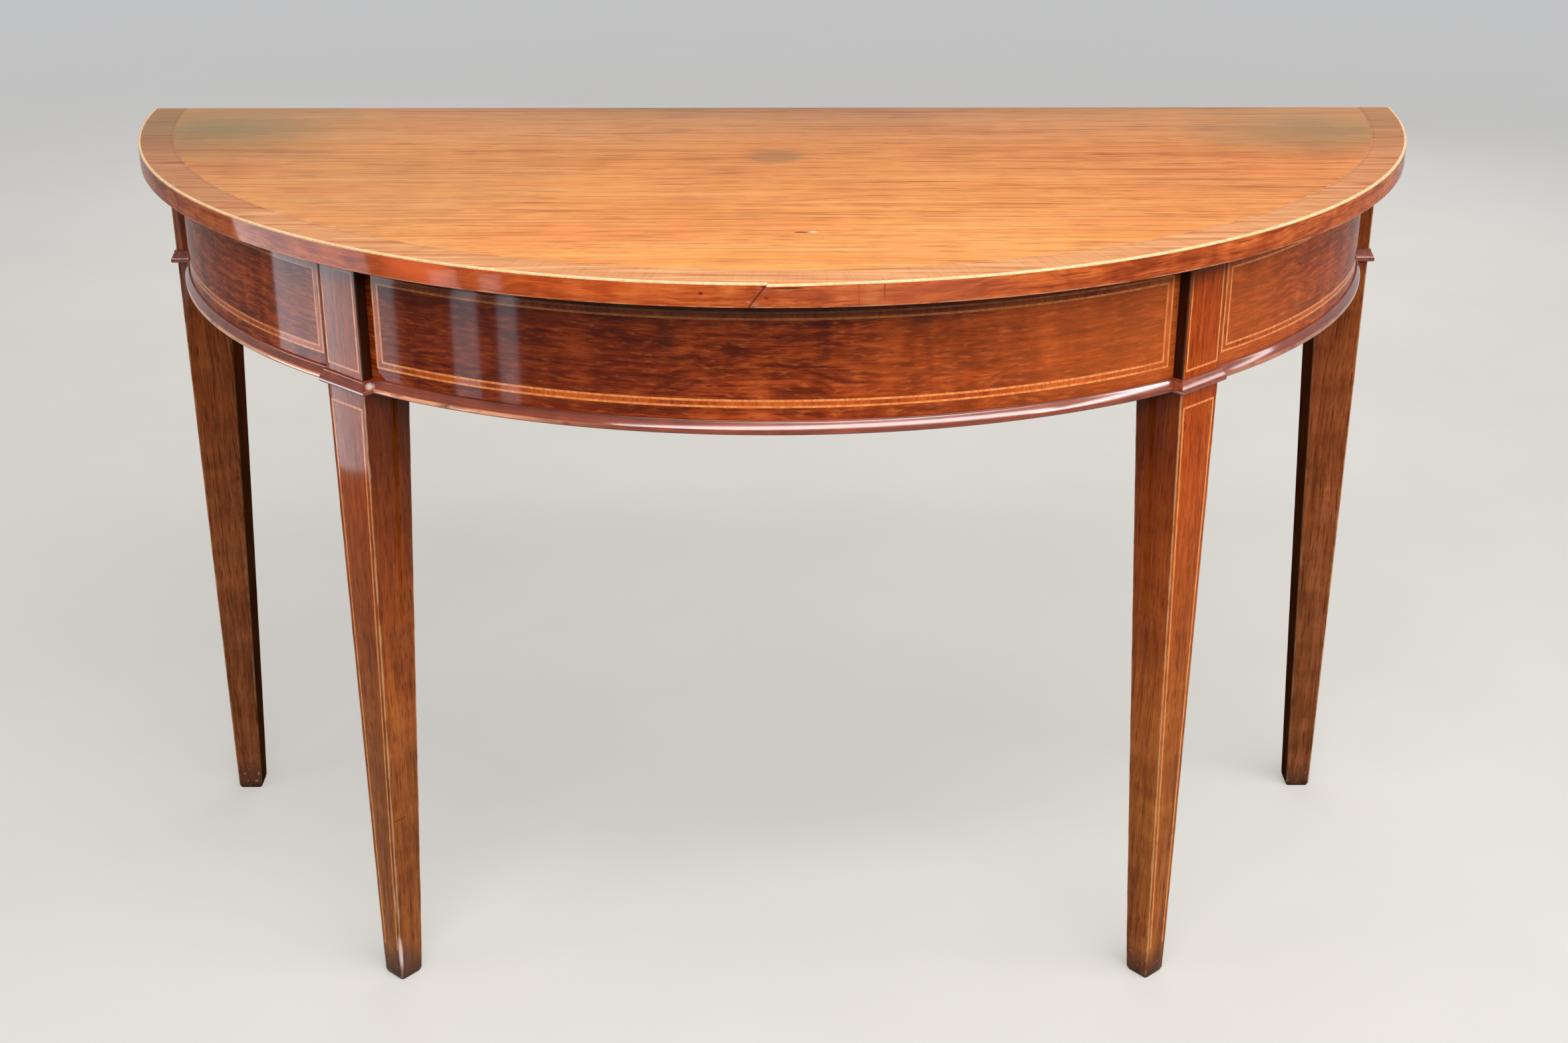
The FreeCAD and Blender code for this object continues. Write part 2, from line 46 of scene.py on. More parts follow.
# Main sizes in metres, as in the part's source.
TABLE_HEIGHT = 0.742
HALF_WIDTH = 0.609
TOP_DEPTH = 0.551
BACK_EDGE = 0.2755
UNDERSIDE = 0.722
VENEER = 0.0016
EDGE_LINE = 0.0024
CROSSBAND = 0.030
FRIEZE_HALF_WIDTH = 0.576
FRIEZE_DEPTH = 0.512
RAIL_BOTTOM = 0.603
BEAD_TOP = 0.615
LEG_WIDTH = 0.049
FOOT_WIDTH = 0.025
FOOT_SET = 0.0045
LEG_ANGLE = math.radians(41.5)
FRONT_PROUD = 0.007
BACK_LEG_X = 0.588
BACK_LEG_Y = 0.241
STRING_WIDTH = 0.0019
STRING_MARGIN = 0.0036
SCARF_FOOT = -0.019
SCARF_LEAN = math.tan(math.radians(37))
RETURN_DEPTH = {"front": 0.016, "back": 0.022}

# Beside the slanting joint the upper part of the right-hand strip has sunk a little.
SUNK_DEPTH = 0.0011
SUNK_LENGTH = 0.045
SUNK_BAND = 0.003

# Brightness and tint of the backdrop where it is seen or mirrored.
BACKDROP = 0.55
BACKDROP_TINT = (0.98, 0.985, 1.0)

# The front legs stand on a radius of the frieze's oval, a little proud of it.
LEG_REACH = FRONT_PROUD + 1 / math.hypot(
    math.sin(LEG_ANGLE) / FRIEZE_HALF_WIDTH, math.cos(LEG_ANGLE) / FRIEZE_DEPTH)
FRONT_LEG_X = LEG_REACH * math.sin(LEG_ANGLE)
FRONT_LEG_Y = BACK_EDGE - LEG_REACH * math.cos(LEG_ANGLE)

# Each leg: the middle of its outer face, its turn about the vertical, and the side it stands on.
LEGS = {
    "front_right": ((FRONT_LEG_X, FRONT_LEG_Y), LEG_ANGLE, 1),
    "front_left": ((-FRONT_LEG_X, FRONT_LEG_Y), -LEG_ANGLE, -1),
    "back_right": ((BACK_LEG_X, BACK_LEG_Y), math.radians(90), 1),
    "back_left": ((-BACK_LEG_X, BACK_LEG_Y), math.radians(-90), -1),
}


class Wiring:
    """Adds nodes to a tree and joins them."""

    def __init__(self, tree):
        self.tree = tree

    def add(self, kind, *values, **settings):
        node = self.tree.nodes.new(kind)
        for field, value in settings.items():
            setattr(node, field, value)
        for socket, value in zip(node.inputs, values):
            self.fill(socket, value)
        return node

    def fill(self, socket, value):
        if isinstance(value, bpy.types.NodeSocket):
            self.tree.links.new(value, socket)
        elif value is not None:
            socket.default_value = value

    def math(self, operation, *values):
        return self.add("ShaderNodeMath", *values, operation=operation).outputs[0]

    def vector(self, operation, *values):
        return self.add("ShaderNodeVectorMath", *values, operation=operation).outputs[0]

    def noise(self, vector, stretch, detail=3.0, roughness=0.55, distortion=0.0):
        node = self.add("ShaderNodeTexNoise")
        self.fill(node.inputs["Vector"], self.vector("MULTIPLY", vector, stretch))
        node.inputs["Scale"].default_value = 1.0
        node.inputs["Detail"].default_value = detail
        node.inputs["Roughness"].default_value = roughness
        node.inputs["Distortion"].default_value = distortion
        return node.outputs[0]

    def remap(self, value, low, high, to_low=0.0, to_high=1.0):
        node = self.add("ShaderNodeMapRange", value, low, high, to_low, to_high)
        return node.outputs[0]

    def soft(self, value, low, high):
        node = self.add("ShaderNodeMapRange", value, low, high, 0.0, 1.0, interpolation_type="SMOOTHSTEP")
        return node.outputs[0]

    def blend(self, factor, first, second, mode="MIX"):
        node = self.add("ShaderNodeMix", data_type="RGBA", blend_type=mode)
        for socket, value in ((node.inputs[0], factor), (node.inputs[6], first), (node.inputs[7], second)):
            self.fill(socket, value)
        return node.outputs[2]

    def parts(self, vector):
        return self.add("ShaderNodeSeparateXYZ", vector).outputs

    def join(self, x, y, z):
        return self.add("ShaderNodeCombineXYZ", x, y, z).outputs[0]


def shader_group(name, inputs, outputs):
    """An empty shader group with named sockets; returns it, its wiring and its input and output nodes."""
    tree = bpy.data.node_groups.new(name, "ShaderNodeTree")
    kinds = {"v": "NodeSocketVector", "c": "NodeSocketColor", "f": "NodeSocketFloat"}
    for title, kind in inputs.items():
        tree.interface.new_socket(title, in_out="INPUT", socket_type=kinds[kind])
    for title, kind in outputs.items():
        tree.interface.new_socket(title, in_out="OUTPUT", socket_type=kinds[kind])
    wiring = Wiring(tree)
    return wiring, wiring.add("NodeGroupInput").outputs, wiring.add("NodeGroupOutput").inputs


def curve_coordinates_group():
    """Coordinates along a half-oval: along its curve, inward from it, and up."""
    w, given, put = shader_group(
        "curve coordinates", {"Vector": "v", "Half width": "f", "Depth": "f"}, {"Vector": "v"})
    x, y, z = w.parts(given["Vector"])
    across = w.math("DIVIDE", x, given["Half width"])
    ahead = w.math("DIVIDE", w.math("SUBTRACT", BACK_EDGE, y), given["Depth"])
    angle = w.math("ARCTAN2", across, ahead)
    squares = w.math("ADD", w.math("MULTIPLY", across, across), w.math("MULTIPLY", ahead, ahead))
    reach = w.math("SQRT", squares)
    along = w.math("MULTIPLY", angle, given["Depth"])
    inward = w.math("MULTIPLY", w.math("SUBTRACT", 1.0, reach), given["Depth"])
    w.fill(put["Vector"], w.join(along, inward, z))
    return w.tree


def grain_group():
    """Polished wood with its grain along X: streaks, dashes, fibres, cross figure and open pores."""
    w, given, put = shader_group(
        "wood grain",
        {"Vector": "v", "Pale": "c", "Middle": "c", "Deep": "c", "Figure": "f", "Pores": "f"},
        {"Color": "c", "Roughness": "f", "Height": "f"})
    bend = w.math("SUBTRACT", w.noise(given["Vector"], (2.2, 9.0, 9.0), 2.0), 0.5)
    sway = w.math("MULTIPLY", bend, 0.035)
    grain = w.vector("ADD", given["Vector"], w.join(0.0, sway, sway))
    broad = w.noise(grain, (1.6, 52.0, 52.0), 4.0, 0.6)
    dashes = w.noise(grain, (13.0, 230.0, 230.0), 3.0, 0.65)
    fine = w.noise(grain, (7.0, 420.0, 420.0), 3.0, 0.6)
    ripple = w.noise(grain, (46.0, 11.0, 11.0), 2.0, 0.5)
    cloud = w.noise(given["Vector"], (3.0, 5.0, 5.0), 2.0, 0.5)
    tone = w.math("ADD", w.math("MULTIPLY", broad, 0.26), w.math("MULTIPLY", fine, 0.22))
    tone = w.math("ADD", tone, w.math("MULTIPLY", dashes, 0.34))
    tone = w.math("ADD", tone, w.math("MULTIPLY", cloud, 0.18))
    swing = w.math("MULTIPLY", w.math("SUBTRACT", ripple, 0.5), given["Figure"])
    tone = w.math("ADD", tone, swing)
    color = w.blend(w.soft(tone, 0.34, 0.52), given["Deep"], given["Middle"])
    color = w.blend(w.soft(tone, 0.48, 0.66), color, given["Pale"])
    long_pores = w.soft(w.noise(grain, (36.0, 760.0, 760.0), 1.0, 0.5), 0.58, 0.70)
    short_pores = w.soft(w.noise(grain, (95.0, 1700.0, 1700.0), 1.0, 0.5), 0.58, 0.70)
    pore = w.math("MAXIMUM", long_pores, w.math("MULTIPLY", short_pores, 0.7))
    pore = w.math("MULTIPLY", pore, given["Pores"])
    color = w.blend(pore, color, given["Deep"])
    w.fill(put["Color"], color)
    w.fill(put["Roughness"], w.remap(fine, 0.3, 0.7, 0.30, 0.42))
    height = w.math("SUBTRACT", w.math("MULTIPLY", fine, 0.4), pore)
    w.fill(put["Height"], w.math("ADD", height, w.math("MULTIPLY", broad, 0.5)))
    return w.tree


def flame_group():
    """Wavy figure of crotch veneer along X, as a mask from 0 to 1."""
    w, given, put = shader_group("flame figure", {"Vector": "v", "Pitch": "f", "Sway": "f"}, {"Figure": "f"})
    wave = w.math("SUBTRACT", w.noise(given["Vector"], (8.0, 9.0, 9.0), 3.0, 0.55), 0.5)
    wave = w.math("MULTIPLY", wave, given["Sway"])
    level = w.math("ADD", w.parts(given["Vector"])[1], wave)
    along = w.math("MULTIPLY", w.parts(given["Vector"])[0], 24.0)
    ribbon = w.join(along, w.math("DIVIDE", level, given["Pitch"]), 0.0)
    stripes = w.soft(w.noise(ribbon, (1.0, 1.0, 1.0), 3.0, 0.6), 0.36, 0.64)
    strength = w.soft(w.noise(given["Vector"], (9.0, 14.0, 14.0), 3.0, 0.6), 0.30, 0.62)
    w.fill(put["Figure"], w.math("MULTIPLY", stripes, strength))
    return w.tree


def old_polish_group():
    """Old marks in the polish: soft dark clouds and thin rubbed patches."""
    w, given, put = shader_group("old polish", {"Vector": "v"}, {"Dark": "f", "Rubbed": "f"})
    cloud = w.noise(given["Vector"], (9.0, 9.0, 9.0), 4.0, 0.6)
    spots = w.noise(given["Vector"], (38.0, 38.0, 38.0), 3.0, 0.6)
    w.fill(put["Dark"], w.math("MULTIPLY", w.soft(cloud, 0.55, 0.75), w.soft(spots, 0.35, 0.7)))
    w.fill(put["Rubbed"], w.soft(w.noise(given["Vector"], (21.0, 21.0, 55.0), 4.0, 0.65), 0.52, 0.74))
    return w.tree


def spot_group():
    """One uneven mark: 1 at its middle and 0 outside its reach; a blur of 1 fades all the way in."""
    w, given, put = shader_group(
        "mark", {"Vector": "v", "Middle": "v", "Reach": "v", "Blur": "f"}, {"Mask": "f"})
    away = w.vector("DIVIDE", w.vector("SUBTRACT", given["Vector"], given["Middle"]), given["Reach"])
    far = w.add("ShaderNodeVectorMath", away, operation="LENGTH").outputs["Value"]
    ragged = w.math("SUBTRACT", w.noise(away, (2.3, 2.3, 2.3), 3.0), 0.5)
    far = w.math("ADD", far, w.math("MULTIPLY", ragged, 0.5))
    w.fill(put["Mask"], w.soft(far, 1.0, w.math("SUBTRACT", 1.0, given["Blur"])))
    return w.tree


def leg_places_group():
    """Where a point is on a tapered leg: near an arris, on a side or the inner face, at its head, foot or
    tip, or under the bead."""
    w, given, put = shader_group(
        "places on a leg", {"Vector": "v", "Shift": "f"},
        {"Arris": "f", "Head side": "f", "Side": "f", "Inner face": "f", "Foot": "f", "Tip": "f",
         "Under bead": "f", "Rise": "f"})
    x, y, z = w.parts(given["Vector"])
    width = w.remap(z, 0.0, RAIL_BOTTOM, FOOT_WIDTH, LEG_WIDTH)
    half = w.math("MULTIPLY", width, 0.5)
    middle = w.math("MULTIPLY", w.math("SUBTRACT", LEG_WIDTH / 2, half), given["Shift"])
    from_side = w.math("SUBTRACT", half, w.math("ABSOLUTE", w.math("SUBTRACT", x, middle)))
    from_face = w.math("MINIMUM", y, w.math("SUBTRACT", width, y))
    away = w.math("MAXIMUM", from_side, from_face)
    uneven = w.noise(given["Vector"], (120.0, 120.0, 34.0), 3.0, 0.6)
    w.fill(put["Arris"], w.soft(away, w.remap(uneven, 0.35, 0.7, 0.0007, 0.0030), 0.0002))
    side = w.soft(from_side, 0.0016, 0.0007)
    w.fill(put["Side"], side)
    w.fill(put["Inner face"], w.soft(w.math("SUBTRACT", width, y), 0.0016, 0.0007))
    w.fill(put["Head side"], w.math("MULTIPLY", side, w.soft(z, BEAD_TOP - 0.002, BEAD_TOP)))
    worn = w.math("ADD", z, w.math("MULTIPLY", uneven, 0.03))
    w.fill(put["Foot"], w.soft(worn, 0.060, 0.018))
    w.fill(put["Tip"], w.soft(worn, 0.024, 0.014))
    w.fill(put["Under bead"], w.soft(z, RAIL_BOTTOM - 0.30, RAIL_BOTTOM))
    w.fill(put["Rise"], w.soft(z, 0.15, RAIL_BOTTOM))
    return w.tree


def painted_shade_group():
    """Painted shade on the frieze and the leg blocks, close under the top's overhang and weaker towards the
    right, as a mask.
    """
    w, given, put = shader_group("painted shade under the top", {"Vector": "v"}, {"Mask": "f"})
    uneven = w.remap(w.noise(given["Vector"], (30.0, 30.0, 60.0), 3.0), 0.3, 0.7, -0.003, 0.003)
    x, _, z = w.parts(given["Vector"])
    level = w.soft(w.math("ADD", z, uneven), UNDERSIDE - 0.038, UNDERSIDE - 0.010)
    w.fill(put["Mask"], w.math("MULTIPLY", level, w.remap(x, 0.0, 0.26, 1.0, 0.15)))
    return w.tree


GROUPS = {
    "curve": curve_coordinates_group(),
    "grain": grain_group(),
    "flame": flame_group(),
    "polish": old_polish_group(),
    "mark": spot_group(),
    "leg": leg_places_group(),
    "top_shade": painted_shade_group(),
}


def rgb(text):
    """A colour written as six hex digits, as linear light."""
    values = [int(text[i:i + 2], 16) / 255 for i in (0, 2, 4)]
    linear = [v / 12.92 if v <= 0.04045 else ((v + 0.055) / 1.055) ** 2.4 for v in values]
    return (*linear, 1.0)


def new_material(name):
    """A material with a bare Principled shader; returns it, its wiring and its shader."""
    material = bpy.data.materials.new(name)
    material.use_nodes = True
    tree = material.node_tree
    tree.nodes.clear()
    w = Wiring(tree)
    shader = w.add("ShaderNodeBsdfPrincipled")
    output = w.add("ShaderNodeOutputMaterial")
    tree.links.new(shader.outputs[0], output.inputs[0])
    return material, w, shader


def place(w, group, **values):
    """Puts a shared group in a material and fills its inputs."""
    node = w.add("ShaderNodeGroup", node_tree=GROUPS[group])
    for title, value in values.items():
        w.fill(node.inputs[title.replace("_", " ")], value)
    return node.outputs


def tint(w, color, mask, strength, tone, mode="MIX"):
    """Lays a tone over a colour, as strongly as a mask says."""
    return w.blend(w.math("MULTIPLY", mask, strength), color, rgb(tone), mode)


def object_point(w):
    return w.add("ShaderNodeTexCoord").outputs["Object"]


def bump(w, shader, height, strength, distance):
    node = w.add("ShaderNodeBump")
    node.inputs["Strength"].default_value = strength
    node.inputs["Distance"].default_value = distance
    w.fill(node.inputs["Height"], height)
    w.fill(shader.inputs["Normal"], node.outputs[0])


def polish(shader, coat=1.0, coat_roughness=0.07, coat_ior=1.3, under=0.0):
    """French polish: a clear coat over the wood, and the gloss of the wood under it."""
    shader.inputs["Coat Weight"].default_value = coat
    shader.inputs["Coat Roughness"].default_value = coat_roughness
    shader.inputs["Coat IOR"].default_value = coat_ior
    shader.inputs["Specular IOR Level"].default_value = under


def along_curve(w, half_width, depth):
    return place(w, "curve", Vector=object_point(w), Half_width=half_width, Depth=depth)["Vector"]


def turned(w, vector, order):
    """The same point with its axes in another order, so that the grain runs along another of them."""
    parts = w.parts(vector)
    return w.join(*[parts[i] for i in order])


def on_top_edge(order):
    return lambda w: turned(w, along_curve(w, HALF_WIDTH, TOP_DEPTH), order)


def on_frieze(order):
    return lambda w: turned(w, along_curve(w, FRIEZE_HALF_WIDTH, FRIEZE_DEPTH), order)


def mahogany(name, coordinates, tones, figure=0.2, pores=0.6, flame=0.0, pitch=0.014, sway=0.05, smoke=0.4,
             marks=None, relief=0.10, dull=None, **gloss):
    """Polished mahogany: grain, flame figure, old polish, the piece's own marks and a fine relief. The polish
    is left out where the mask from dull says so."""
    material, w, shader = new_material(name)
    vector = coordinates(w)
    pale, middle, deep = [rgb(tone) for tone in tones]
    wood = place(w, "grain", Vector=vector, Pale=pale, Middle=middle, Deep=deep, Figure=figure, Pores=pores)
    color = wood["Color"]
    if flame:
        waves = place(w, "flame", Vector=vector, Pitch=pitch, Sway=sway)["Figure"]
        color = tint(w, color, waves, flame, tones[2])
    old = place(w, "polish", Vector=object_point(w))
    color = tint(w, color, old["Dark"], smoke, tones[2])
    if marks:
        color = marks(w, color)
    w.fill(shader.inputs["Base Color"], color)
    w.fill(shader.inputs["Roughness"], wood["Roughness"])
    bump(w, shader, wood["Height"], relief, 0.0004)
    polish(shader, **gloss)
    if dull:
        weight = shader.inputs["Coat Weight"]
        w.fill(weight, w.math("MULTIPLY", w.math("SUBTRACT", 1.0, dull(w)), weight.default_value))
    return material


def add_marks(w, color, vector, rows, mode="MIX"):
    """Lays single marks over a colour; each row is middle, reach, blur, tone and strength."""
    for middle, reach, blur, tone, strength in rows:
        mask = place(w, "mark", Vector=vector, Middle=middle, Reach=reach, Blur=blur)["Mask"]
        color = tint(w, color, mask, strength, tone, mode)
    return color


def add_painted_shade(w, color, strength):
    """Darkens a colour close under the top with painted shade."""
    mask = place(w, "top_shade", Vector=object_point(w))["Mask"]
    return tint(w, color, mask, strength, "240d07")


def joint_line(w, color):
    """The thin dark joint between the field and the crossbanding."""
    inner = along_curve(w, HALF_WIDTH - CROSSBAND, TOP_DEPTH - CROSSBAND)
    gap = w.math("ABSOLUTE", w.parts(inner)[1])
    return tint(w, color, w.soft(gap, 0.0010, 0.0003), 0.22, "8a4a20")


def field_material():
    """Straight-grained honey mahogany of the top, with an old ring, a small scar, greyish-brown back corners
    and painted shade towards the back.
    """
    z = TABLE_HEIGHT
    rows = (
        ((0.003, 0.093, z), (0.036, 0.028, 0.1), 0.6, "94714e", 0.55),
        ((0.0235, -0.143, z), (0.0080, 0.0026, 0.1), 0.5, "5c2c14", 0.85),
        ((0.0335, -0.142, z), (0.0042, 0.0028, 0.1), 0.5, "ffe6c0", 0.85),
        ((-0.530, 0.185, z), (0.195, 0.150, 0.3), 1.0, "7e7250", 0.80),
        ((0.520, 0.180, z), (0.175, 0.140, 0.3), 1.0, "86704c", 0.70),
        ((0.0, 0.27, z), (1.5, 0.17, 0.5), 1.0, "b4b09a", 0.22),
        ((-0.42, 0.0, z), (0.40, 0.35, 0.5), 1.0, "eeb489", 0.14),
    )
    # Painted shade: the top darker over its back half and along its back edge. The two patches at the sides
    # tint its left and right.
    shades = (
        ((0.05, 0.34, z), (0.80, 0.58, 0.5), 1.0, "d8ccca", 0.9),
        ((0.0, 0.30, z), (1.4, 0.10, 0.5), 1.0, "c8c0b8", 0.7),
        ((-0.42, 0.0, z), (0.40, 0.35, 0.5), 1.0, "e4eaf0", 0.7),
        ((0.46, 0.0, z), (0.34, 0.35, 0.5), 1.0, "f0e8ea", 0.9),
    )

    def marks(w, color):
        point = object_point(w)
        hue = w.noise(point, (3.0, 16.0, 3.0), 3.0)
        color = tint(w, color, w.soft(hue, 0.52, 0.68), 0.5, "fff0c4", "MULTIPLY")
        color = tint(w, color, w.soft(hue, 0.46, 0.32), 0.4, "ffdcd2", "MULTIPLY")
        lines = w.noise(point, (4.0, 150.0, 4.0), 2.0)
        color = tint(w, color, w.soft(lines, 0.58, 0.68), 0.36, "dcaa84", "MULTIPLY")
        color = tint(w, color, w.soft(lines, 0.42, 0.32), 0.30, "ffcc8c")
        # Painted shade towards the back, and the tints at the sides.
        color = add_marks(w, color, point, shades, "MULTIPLY")
        return joint_line(w, add_marks(w, color, point, rows))

    def long_grain(w):
        return w.vector("MULTIPLY", object_point(w), (0.5, 1.0, 1.0))
    return mahogany("field veneer", long_grain, ("ffb468", "fba456", "a85c26"), figure=0.12, pores=0.75,
                    smoke=0.25, marks=marks, coat=0.45)


def crossband_material():
    """Crossbanding round the top: the grain runs in from the edge, close to the field in colour."""
    rows = (
        ((-0.58, 0.22, TABLE_HEIGHT), (0.10, 0.14, 0.3), 0.9, "80704e", 0.55),
        ((0.58, 0.22, TABLE_HEIGHT), (0.10, 0.14, 0.3), 0.9, "8a6a44", 0.45),
    )
    shades = (
        ((-0.56, 0.10, TABLE_HEIGHT), (0.30, 0.36, 0.3), 1.0, "d8d0d6", 0.9),
        ((0.56, 0.10, TABLE_HEIGHT), (0.26, 0.34, 0.3), 1.0, "ecdede", 0.9),
    )

    def marks(w, color):
        point = object_point(w)
        dashes = w.noise(point, (8.0, 170.0, 8.0), 2.0)
        color = tint(w, color, w.soft(dashes, 0.55, 0.66), 0.75, "dcb090", "MULTIPLY")
        color = tint(w, color, w.soft(dashes, 0.45, 0.33), 0.60, "fac08a")
        color = add_marks(w, color, point, shades, "MULTIPLY")
        return joint_line(w, add_marks(w, color, point, rows))
    return mahogany("crossbanding", on_top_edge((1, 0, 2)), ("e4a16b", "e09b65", "d08a53"), figure=0.03,
                    pores=0.2, smoke=0.2, marks=marks, coat=0.45)


# Rows of marks hold middle, reach, blur, tone and strength. These are at the slanting joint.
JOINT_MARKS = (
    ((-0.0061, 0.0, 0.7368), (0.0070, 0.05, 0.0050), 0.9, "c05c46", 0.60),
    ((-0.0120, 0.0, 0.7252), (0.0046, 0.05, 0.0026), 0.9, "cc846c", 0.60),
    ((-0.0166, 0.0, 0.7270), (0.0022, 0.05, 0.0010), 0.9, "e0a48c", 0.60),
    ((-0.0042, 0.0, 0.7302), (0.0030, 0.05, 0.0014), 0.8, "5a1e0c", 0.80),
    # The two rows in 4a140a are painted shadow under the pale line beside the joint.
    ((-0.0055, 0.0, 0.7393), (0.0030, 0.05, 0.0012), 0.6, "4a140a", 0.85),
    ((0.0100, 0.0, 0.7383), (0.0150, 0.05, 0.0014), 0.6, "4a140a", 0.85),
    ((0.0110, 0.0, 0.7362), (0.0060, 0.05, 0.0009), 0.9, "a8705c", 0.50),
)


def edge_material():
    """Figured veneer of the top's edge, with a slanting joint, a patch, a hole, painted shadow under the pale
    line beside the joint, and a rubbed lower arris with a painted highlight along it.
    """
    def marks(w, color):
        vector = along_curve(w, HALF_WIDTH, TOP_DEPTH)
        rows = (
            ((-0.0496, 0.0, 0.7335), (0.0023, 0.01, 0.0019), 0.6, "301008", 0.95),
            ((0.0600, 0.0, 0.731), (0.0008, 0.05, 0.03), 0.7, "7a3010", 0.40),
            ((0.0778, 0.0, 0.735), (0.0010, 0.05, 0.012), 0.7, "5e200c", 0.75),
            ((0.0690, 0.0, 0.731), (0.009, 0.05, 0.03), 0.8, "e09a5a", 0.25),
            ((-0.14, 0.0, 0.733), (0.16, 0.05, 0.03), 1.0, "e0581c", 0.40),
            ((-0.265, 0.0, 0.733), (0.055, 0.05, 0.03), 1.0, "fa703a", 0.85),
            ((0.10, 0.0, 0.733), (0.14, 0.05, 0.03), 1.0, "c4684a", 0.40),
        )
        color = add_marks(w, color, vector, rows + JOINT_MARKS)
        x, _, z = w.parts(object_point(w))
        lean = w.math("MULTIPLY", w.math("SUBTRACT", z, UNDERSIDE), SCARF_LEAN)
        gap = w.math("ABSOLUTE", w.math("SUBTRACT", w.math("SUBTRACT", x, SCARF_FOOT), lean))
        color = tint(w, color, w.soft(gap, 0.0015, 0.0004), 0.7, "622a14")
        # The pale line along the lower arris is rubbed wear and a painted highlight.
        uneven = w.noise(vector, (60.0, 60.0, 60.0), 3.0)
        low = w.soft(z, UNDERSIDE + 0.0018, UNDERSIDE + 0.0008)
        worn = w.math("MULTIPLY", low, w.soft(uneven, 0.35, 0.6))
        return tint(w, color, worn, 0.6, "eaa67c")
    return mahogany("edge veneer", on_top_edge((0, 2, 1)), ("ee8440", "d4642a", "842e10"), figure=0.35,
                    pores=0.8, flame=0.8, pitch=0.006, sway=0.07, marks=marks, coat=0.6)


def frieze_material():
    """Deep red flame veneer of the frieze."""
    def marks(w, color):
        vector = along_curve(w, FRIEZE_HALF_WIDTH, FRIEZE_DEPTH)
        rows = (
            ((-0.20, 0.0, 0.66), (0.28, 0.05, 0.2), 1.0, "541408", 0.50),
            ((0.33, 0.0, 0.65), (0.34, 0.05, 0.2), 1.0, "e0702e", 0.45),
            ((-0.075, 0.0, 0.683), (0.012, 0.05, 0.018), 1.0, "3c1c14", 0.55),
            ((0.105, 0.0, 0.694), (0.016, 0.05, 0.012), 1.0, "3a1e18", 0.5),
        )
        flecks = w.noise(vector, (75.0, 1.0, 330.0), 3.0, 0.6)
        color = tint(w, color, w.soft(flecks, 0.52, 0.70), 0.45, "ea7e3a")
        color = tint(w, color, w.soft(flecks, 0.46, 0.30), 0.60, "4c1608")
        # Painted shade close under the top.
        return add_painted_shade(w, add_marks(w, color, vector, rows), 0.7)
    return mahogany("frieze veneer", on_frieze((0, 2, 1)), ("dc662c", "b04616", "581808"), figure=0.35,
                    pores=0.7, flame=0.85, pitch=0.0065, sway=0.075, marks=marks, coat=0.5)


def band_material():
    """Red wood between the pale lines of the frieze, its grain upright."""
    def marks(w, color):
        # Painted shade close under the top.
        return add_painted_shade(w, color, 0.7)
    return mahogany("red band", on_frieze((2, 0, 1)), ("e4702e", "cc5820", "8a3410"), figure=0.5, pores=0.5,
                    marks=marks, coat=0.7)


# A painted glint on a corner of the bead beside the left front block.
PAINTED_CORNER_GLINT = (((-0.3375, -0.1474, 0.6100), (0.0060, 0.0060, 0.0038), 0.8, "fff0ea", 0.8),)


def bead_material():
    """The bead: darker mahogany under thick, bright polish, rubbed along its nose towards the ends with a
    pale painted highlight there, and a painted glint at one corner.
    """
    def marks(w, color):
        along, _, z = w.parts(along_curve(w, FRIEZE_HALF_WIDTH, FRIEZE_DEPTH))
        # The pale line along the nose towards the ends is rubbed wear and a painted highlight.
        nose = w.math("MULTIPLY", w.soft(z, RAIL_BOTTOM + 0.0052, RAIL_BOTTOM + 0.0040),
                      w.soft(z, RAIL_BOTTOM + 0.0006, RAIL_BOTTOM + 0.0014))
        right = w.math("MULTIPLY", w.soft(along, 0.30, 0.42), 0.4)
        away = w.math("MAXIMUM", w.soft(along, -0.10, -0.24), right)
        uneven = w.soft(w.noise(object_point(w), (40.0, 40.0, 90.0), 3.0), 0.26, 0.50)
        worn = w.math("MULTIPLY", w.math("MULTIPLY", nose, away), uneven)
        color = w.blend(worn, color, rgb("ffae7c"))
        # A painted glint at the corner.
        return add_marks(w, color, w.add("ShaderNodeNewGeometry").outputs["Position"], PAINTED_CORNER_GLINT)
    return mahogany("bead", on_frieze((0, 1, 2)), ("ac5030", "88381e", "4e1a0e"), figure=0.2, pores=0.4,
                    marks=marks, coat_roughness=0.10, coat_ior=1.55, under=0.1)


